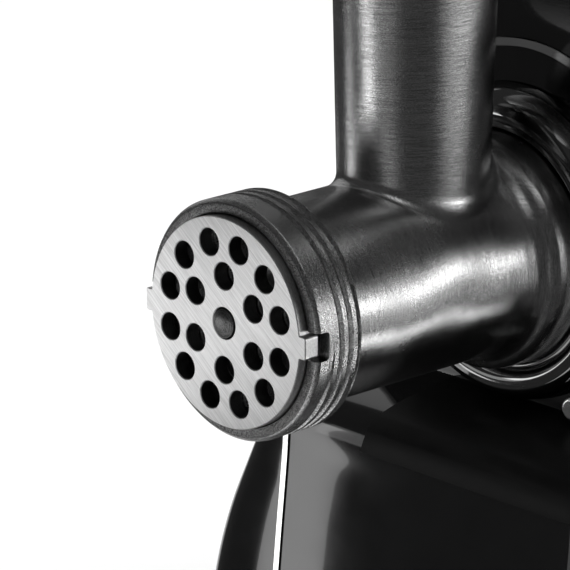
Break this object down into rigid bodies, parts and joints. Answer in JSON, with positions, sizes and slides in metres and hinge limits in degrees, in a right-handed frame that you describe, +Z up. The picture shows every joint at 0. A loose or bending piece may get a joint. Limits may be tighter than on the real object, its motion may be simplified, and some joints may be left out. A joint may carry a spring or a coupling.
{
  "type": "electric meat grinder",
  "caption": "Electric meat grinder with a cast grinding head, loose hole plate, screw and knife, feed tube with tray and pusher, and a geared motor in a gloss body.",
  "frame": {"origin": "on the table under the middle of the bounding box", "axes": "+Z up, -Y towards the front where the hole plate is, +X to the right of a person behind the machine's rear, left-right symmetric about X=0 except small parts"},
  "size_m": [0.2084, 0.3028, 0.365],
  "materials": {
    "cast_alloy": "cast body, turned and brushed outside",
    "plate_steel": "straight ground face",
    "blade_steel": "ground and polished edges",
    "stub_steel": "turned steel, darker",
    "screw_alloy": "cast, satin",
    "nylon": "plain moulded",
    "dark_chrome": "mirror, dark tone",
    "bright_trim": "polished",
    "black_gloss": "piano gloss",
    "black_satin": "fine satin grain",
    "foot_rubber": "matt",
    "gear_steel": "cut teeth, oiled",
    "gear_alloy": "die-cast, rough",
    "bronze": "sintered, dull",
    "lamination": "stacked sheet edges",
    "copper": "varnished winding",
    "carbon": "pressed carbon",
    "board": "coated board",
    "spring_wire": "drawn wire",
    "tray_metal": "brushed sheet",
    "pusher_plastic": "satin moulded",
    "screw_zinc": "zinc plated"
  },
  "bodies": {
    "machine": {"grinding_head": "cast_alloy", "head_bush": "nylon", "head_socket": "gear_alloy", "collar_ring": "dark_chrome", "front_panel": "black_gloss", "panel_trim": "bright_trim", "main_housing": "black_gloss", "rear_cover": "black_satin", "base_plate": "black_satin", "foot_front_left": "foot_rubber", "foot_front_right": "foot_rubber", "foot_rear_left": "foot_rubber", "foot_rear_right": "foot_rubber", "base_screws": "screw_zinc", "gearbox_case": "gear_alloy", "gearbox_cover": "gear_alloy", "gearbox_screws": "screw_zinc", "output_front_bush": "bronze", "output_rear_bush": "bronze", "idler_axle": "gear_steel", "motor_front_bracket": "gear_alloy", "motor_rear_bracket": "gear_alloy", "motor_front_bush": "bronze", "motor_rear_bush": "bronze", "motor_stator": "lamination", "field_coils": "copper", "carbon_brush_left": "carbon", "carbon_brush_right": "carbon", "brush_holder_left": "black_satin", "brush_holder_right": "black_satin", "motor_cradle": "black_satin", "start_bezel": "dark_chrome", "start_switch": "black_satin", "reverse_bezel": "dark_chrome", "reverse_switch": "black_satin", "switch_board": "board", "board_posts": "black_satin", "release_bezel": "dark_chrome", "cord_gland": "foot_rubber"},
    "screw_set": {"knife": "blade_steel", "screw_stub": "stub_steel", "screw": "screw_alloy", "screw_coupling": "nylon", "drive_socket": "gear_steel", "output_gear": "gear_steel"},
    "idler": {"idler_gear": "gear_steel"},
    "rotor": {"motor_shaft": "gear_steel", "motor_pinion": "gear_steel", "armature": "lamination", "commutator": "copper", "cooling_fan": "nylon"},
    "plate": {"hole_plate": "plate_steel"},
    "start": {"start_button": "bright_trim", "start_spring": "spring_wire"},
    "reverse": {"reverse_button": "bright_trim", "reverse_spring": "spring_wire"},
    "release": {"release_button": "bright_trim", "release_spring": "spring_wire"},
    "tray": {"hopper_tray": "tray_metal"},
    "pusher": {"pusher": "pusher_plastic"}
  },
  "joints": [
    {"name": "screw_spin", "type": "hinge", "parent": "machine", "child": "screw_set", "pos_m": [0, 0, 0.205], "axis": [0, 1, 0], "continuous": true},
    {"name": "idler_spin", "type": "hinge", "parent": "machine", "child": "idler", "pos_m": [0, 0, 0.1525], "axis": [0, 1, 0], "continuous": true},
    {"name": "motor_spin", "type": "hinge", "parent": "machine", "child": "rotor", "pos_m": [0, 0, 0.1165], "axis": [0, 1, 0], "continuous": true},
    {"name": "plate_pull", "type": "slide", "parent": "machine", "child": "plate", "axis": [0, -1, 0], "range_m": [0, 0.03]},
    {"name": "start_press", "type": "slide", "parent": "machine", "child": "start", "axis": [0, 1, 0], "range_m": [0, 0.003], "stiffness_N_per_m": 500},
    {"name": "reverse_press", "type": "slide", "parent": "machine", "child": "reverse", "axis": [0, 1, 0], "range_m": [0, 0.003], "stiffness_N_per_m": 500},
    {"name": "release_press", "type": "slide", "parent": "machine", "child": "release", "axis": [0, 1, 0], "range_m": [0, 0.003], "stiffness_N_per_m": 500},
    {"name": "tray_lift", "type": "slide", "parent": "machine", "child": "tray", "axis": [0, 0, 1], "range_m": [0, 0.05]},
    {"name": "pusher_lift", "type": "slide", "parent": "tray", "child": "pusher", "axis": [0, 0, 1], "range_m": [0, 0.09]}
  ],
  "couplings": [
    {"joint": "idler_spin", "follows": "screw_spin", "ratio": -4},
    {"joint": "motor_spin", "follows": "screw_spin", "ratio": 20}
  ]
}
